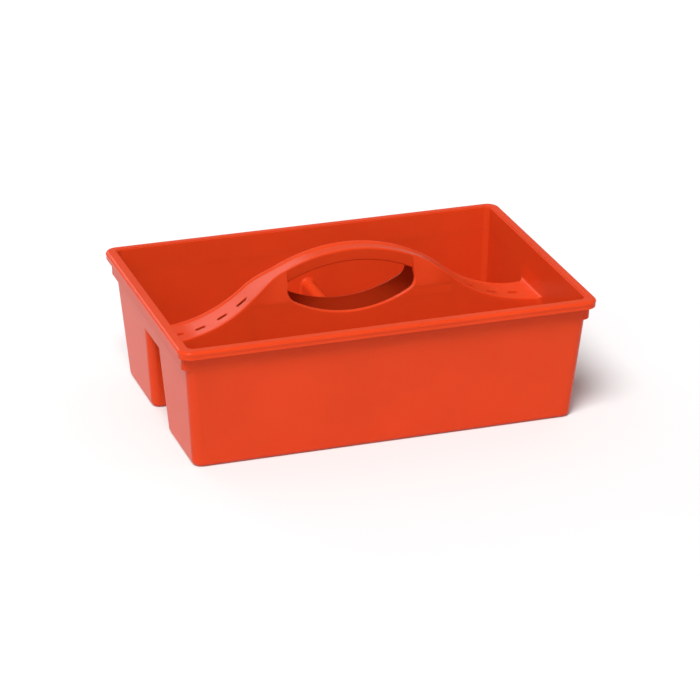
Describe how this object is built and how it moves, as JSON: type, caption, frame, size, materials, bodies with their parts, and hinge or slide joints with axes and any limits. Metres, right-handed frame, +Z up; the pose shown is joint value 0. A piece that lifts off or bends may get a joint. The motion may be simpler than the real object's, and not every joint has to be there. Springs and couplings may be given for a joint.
{
  "type": "cleaning caddy",
  "caption": "Open carry caddy with a front and a rear tub either side of a hollow divider that rises into an arched carrying handle; rolled rim, notched ends, low rear partition.",
  "frame": {"origin": "middle of the base, on the surface that the caddy stands on", "axes": "+X along the length and the handle, +Y from the front tub towards the rear tub, +Z up"},
  "size_m": [0.4, 0.2746, 0.1521],
  "materials": {
    "tub_plastic": "semi-gloss injection-moulded polypropylene, orange-red",
    "handle_plastic": "semi-gloss injection-moulded polypropylene, orange-red",
    "rim_plastic": "semi-gloss injection-moulded polypropylene, orange-red"
  },
  "bodies": {
    "root": {"front_tub_floor": "tub_plastic", "rear_left_floor": "tub_plastic", "rear_right_floor": "tub_plastic", "front_wall": "tub_plastic", "rear_wall": "tub_plastic", "front_tub_left_wall": "tub_plastic", "front_tub_right_wall": "tub_plastic", "rear_tub_left_wall": "tub_plastic", "rear_tub_right_wall": "tub_plastic", "left_notch_front_jamb": "tub_plastic", "left_notch_rear_jamb": "tub_plastic", "right_notch_front_jamb": "tub_plastic", "right_notch_rear_jamb": "tub_plastic", "left_notch_panel": "tub_plastic", "right_notch_panel": "tub_plastic", "rear_partition": "tub_plastic", "front_divider_wall": "handle_plastic", "rear_divider_wall": "handle_plastic", "handle_grip": "handle_plastic", "left_handle_ramp": "handle_plastic", "right_handle_ramp": "handle_plastic", "front_rim": "rim_plastic", "rear_rim": "rim_plastic", "left_rim": "rim_plastic", "right_rim": "rim_plastic", "left_stacking_ledge": "rim_plastic", "right_stacking_ledge": "rim_plastic"}
  },
  "joints": []
}
